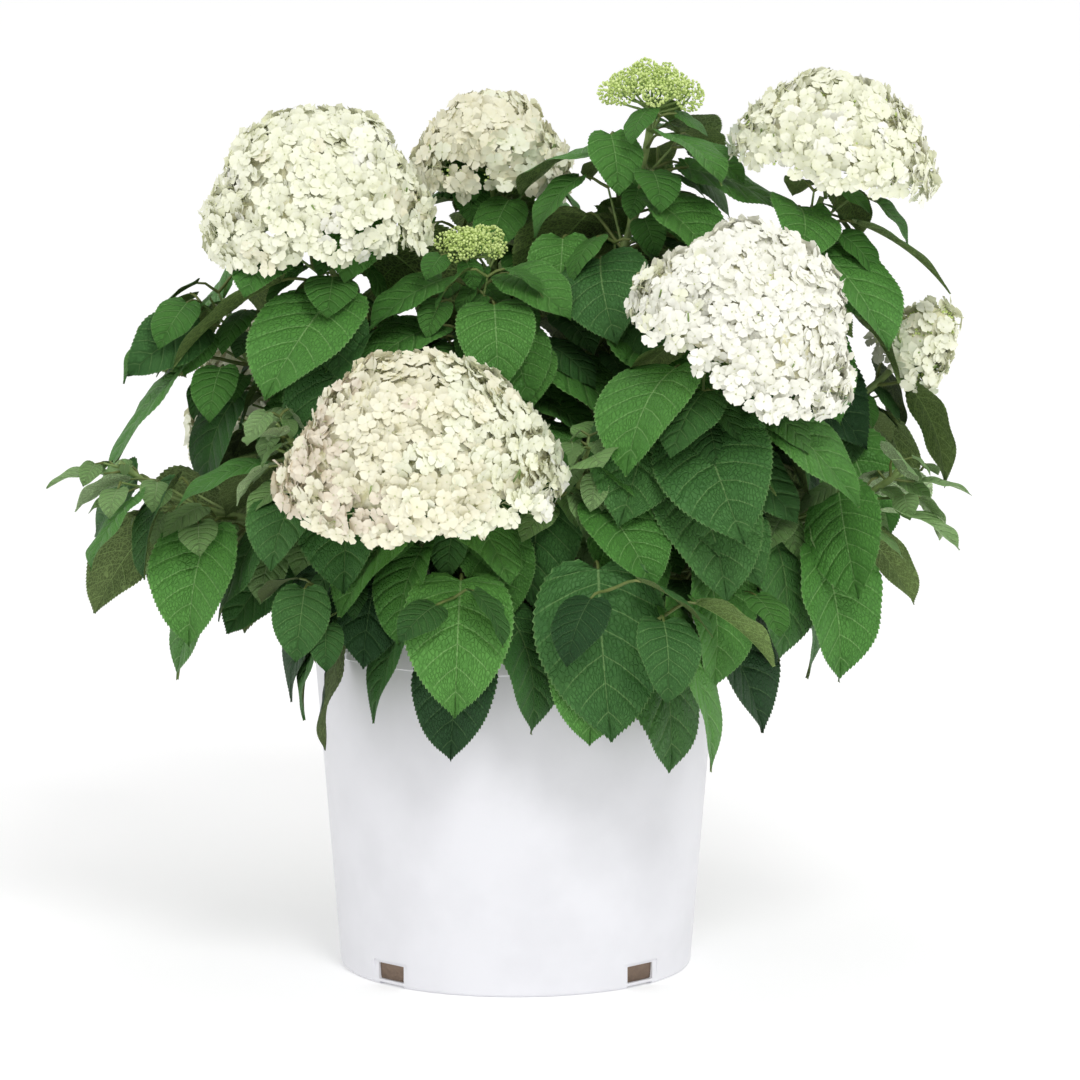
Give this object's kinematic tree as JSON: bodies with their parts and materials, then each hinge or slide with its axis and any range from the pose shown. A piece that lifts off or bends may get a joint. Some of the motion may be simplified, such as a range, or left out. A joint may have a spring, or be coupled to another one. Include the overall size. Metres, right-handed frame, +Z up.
{
  "type": "potted hydrangea shrub",
  "caption": "Mophead hydrangea in bloom: round white flower heads over broad toothed leaves, in a tapered white nursery pot that stands on its flat underside.",
  "frame": {"origin": "middle of the pot's flat underside", "axes": "+Z up along the pot's axis, +X to the right seen from the front, -Y towards the front"},
  "size_m": [0.623, 0.5372, 0.6191],
  "materials": {
    "pot_white": "moulded white plastic with a soft sheen",
    "potting_mix": "crumbly dark bark and peat, matt",
    "old_wood": "flaking grey-brown bark, matt",
    "cane_green": "smooth green bark that browns with age",
    "leaf_green": "quilted leaf surface with a soft sheen",
    "petal_white": "thin creamy white petals, matt",
    "bud_green": "small yellow-green buds, matt"
  },
  "bodies": {
    "root": {"pot": "pot_white", "potting_mix": "potting_mix", "root_crown": "old_wood", "cane_low_front": "cane_green", "cane_low_middle": "cane_green", "cane_low_right": "cane_green", "cane_low_left": "cane_green", "cane_young_left": "cane_green", "cane_young_front": "cane_green", "cane_side_left": "cane_green", "cane_side_right": "cane_green", "cane_bud_front": "cane_green", "cane_bud_top": "cane_green", "cane_bloom_front": "cane_green", "cane_bloom_middle": "cane_green", "cane_leafy_right": "cane_green", "cane_bloom_left": "cane_green", "cane_bloom_right": "cane_green", "cane_bloom_small": "cane_green", "cane_shoulder_left": "cane_green", "cane_shoulder_right": "cane_green", "cane_bloom_back": "cane_green", "cane_bloom_back_left": "cane_green", "cane_bloom_back_right": "cane_green", "cane_bloom_back_low": "cane_green", "cane_low_back_left": "cane_green", "cane_low_back": "cane_green", "cane_low_back_right": "cane_green", "cane_low_far_right": "cane_green", "mass_low_front": "leaf_green", "mass_low_middle": "leaf_green", "mass_low_right": "leaf_green", "mass_low_left": "leaf_green", "mass_young_left": "leaf_green", "mass_young_front": "leaf_green", "mass_side_left": "leaf_green", "mass_side_right": "leaf_green", "mass_bud_front": "leaf_green", "mass_bud_top": "leaf_green", "mass_bloom_front": "leaf_green", "mass_bloom_middle": "leaf_green", "mass_leafy_right": "leaf_green", "mass_bloom_left": "leaf_green", "mass_bloom_right": "leaf_green", "mass_bloom_small": "leaf_green", "mass_shoulder_left": "leaf_green", "mass_shoulder_right": "leaf_green", "mass_bloom_back": "leaf_green", "mass_bloom_back_left": "leaf_green", "mass_bloom_back_right": "leaf_green", "mass_bloom_back_low": "leaf_green", "mass_low_back_left": "leaf_green", "mass_low_back": "leaf_green", "mass_low_back_right": "leaf_green", "mass_low_far_right": "leaf_green"}
  },
  "joints": []
}
